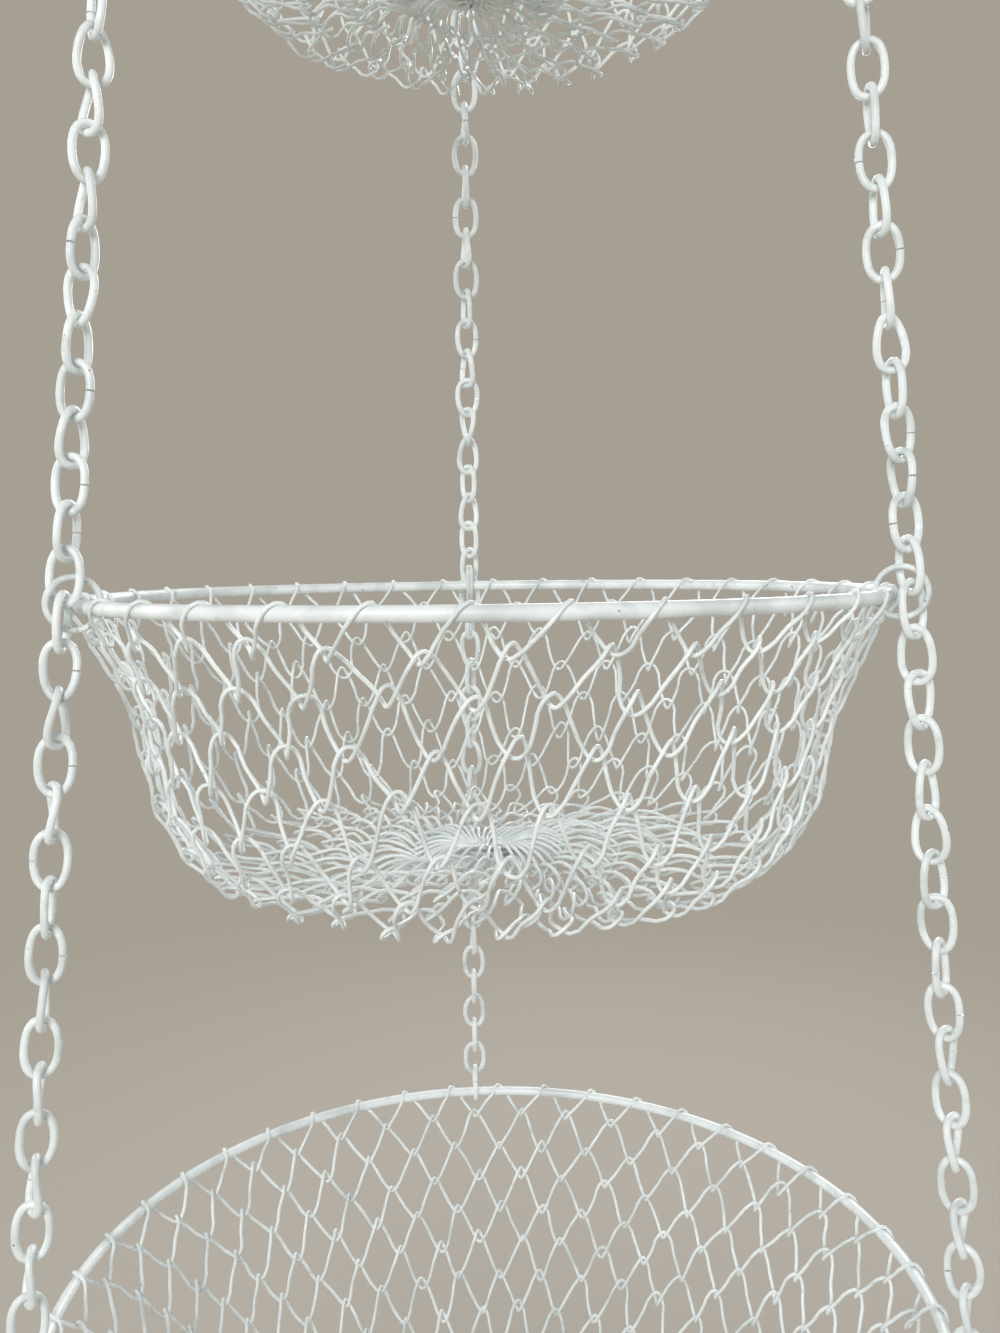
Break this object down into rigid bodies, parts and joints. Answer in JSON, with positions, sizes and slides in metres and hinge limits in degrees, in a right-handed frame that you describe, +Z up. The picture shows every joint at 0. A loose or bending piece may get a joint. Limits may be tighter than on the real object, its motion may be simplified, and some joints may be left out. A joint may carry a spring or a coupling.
{
  "type": "hanging fruit basket",
  "caption": "Chain-hung tiered wire-mesh basket in white coated steel, with round rims, gathered flat floors and an S-hook to hang it from a ceiling or rail.",
  "frame": {"origin": "inside top of the S-hook's upper bend, where the ceiling hook carries it", "axes": "+Z up along the chains' middle line, +Y towards the back chain, +X to the right as pictured"},
  "size_m": [0.3088, 0.3156, 0.9249],
  "materials": {
    "white_coating": "cool white vinyl enamel, half gloss",
    "zinc_steel": "pale grey plated split rings"
  },
  "bodies": {
    "hook": {"s_hook": "white_coating"},
    "ring": {"gather_ring": "white_coating"},
    "tier_top": {"rim_top": "white_coating", "mesh_side_top": "white_coating", "mesh_floor_top": "white_coating", "centre_ring_top": "white_coating", "carrier_links_top": "white_coating", "split_rings_top": "zinc_steel", "chain_top_left": "white_coating", "chain_top_right": "white_coating", "chain_top_back": "white_coating"},
    "run_mid_left": {"chain_mid_left": "white_coating"},
    "run_mid_right": {"chain_mid_right": "white_coating"},
    "run_mid_back": {"chain_mid_back": "white_coating"},
    "tier_mid": {"rim_mid": "white_coating", "mesh_side_mid": "white_coating", "mesh_floor_mid": "white_coating", "centre_ring_mid": "white_coating", "carrier_links_mid": "white_coating", "split_rings_mid": "zinc_steel"},
    "run_low_left": {"chain_low_left": "white_coating"},
    "run_low_right": {"chain_low_right": "white_coating"},
    "run_low_back": {"chain_low_back": "white_coating"},
    "tier_low": {"rim_low": "white_coating", "mesh_side_low": "white_coating", "mesh_floor_low": "white_coating", "centre_ring_low": "white_coating", "carrier_links_low": "white_coating", "end_links_low": "white_coating"}
  },
  "joints": [
    {"name": "ring_swing", "type": "hinge", "parent": "hook", "child": "ring", "pos_m": [0, 0, -0.0492], "axis": [1, 0, 0], "range_deg": [-20, 20]},
    {"name": "basket_swing", "type": "hinge", "parent": "ring", "child": "tier_top", "pos_m": [0, 0, -0.0602], "axis": [0, 1, 0], "range_deg": [-20, 20]},
    {"name": "chain_mid_back_swing", "type": "hinge", "parent": "tier_top", "child": "run_mid_back", "pos_m": [0, 0.10711, -0.30747], "axis": [0, 1, 0], "range_deg": [-7, 7]},
    {"name": "chain_mid_left_swing", "type": "hinge", "parent": "tier_top", "child": "run_mid_left", "pos_m": [-0.09283, -0.05355, -0.30744], "axis": [0, 1, 0], "range_deg": [-7, 7]},
    {"name": "chain_mid_right_swing", "type": "hinge", "parent": "tier_top", "child": "run_mid_right", "pos_m": [0.09283, -0.05355, -0.30744], "axis": [0, 1, 0], "range_deg": [-7, 7]},
    {"name": "tier_mid_level", "type": "hinge", "parent": "run_mid_back", "child": "tier_mid", "pos_m": [0, 0.13252, -0.55616], "axis": [0, 1, 0], "range_deg": [-7, 7]},
    {"name": "chain_low_back_swing", "type": "hinge", "parent": "tier_mid", "child": "run_low_back", "pos_m": [0, 0.13345, -0.56522], "axis": [0, 1, 0], "range_deg": [-7, 7]},
    {"name": "chain_low_left_swing", "type": "hinge", "parent": "tier_mid", "child": "run_low_left", "pos_m": [-0.11557, -0.06672, -0.56522], "axis": [0, 1, 0], "range_deg": [-7, 7]},
    {"name": "chain_low_right_swing", "type": "hinge", "parent": "tier_mid", "child": "run_low_right", "pos_m": [0.11557, -0.06672, -0.56522], "axis": [0, 1, 0], "range_deg": [-7, 7]},
    {"name": "tier_low_level", "type": "hinge", "parent": "run_low_back", "child": "tier_low", "pos_m": [0, 0.15543, -0.79696], "axis": [0, 1, 0], "range_deg": [-7, 7]}
  ],
  "couplings": [
    {"joint": "chain_mid_left_swing", "follows": "chain_mid_back_swing", "ratio": 1},
    {"joint": "chain_mid_right_swing", "follows": "chain_mid_back_swing", "ratio": 1},
    {"joint": "tier_mid_level", "follows": "chain_mid_back_swing", "ratio": -0.8083},
    {"joint": "chain_low_left_swing", "follows": "chain_low_back_swing", "ratio": 1},
    {"joint": "chain_low_right_swing", "follows": "chain_low_back_swing", "ratio": 1},
    {"joint": "tier_low_level", "follows": "chain_low_back_swing", "ratio": -0.8585}
  ]
}
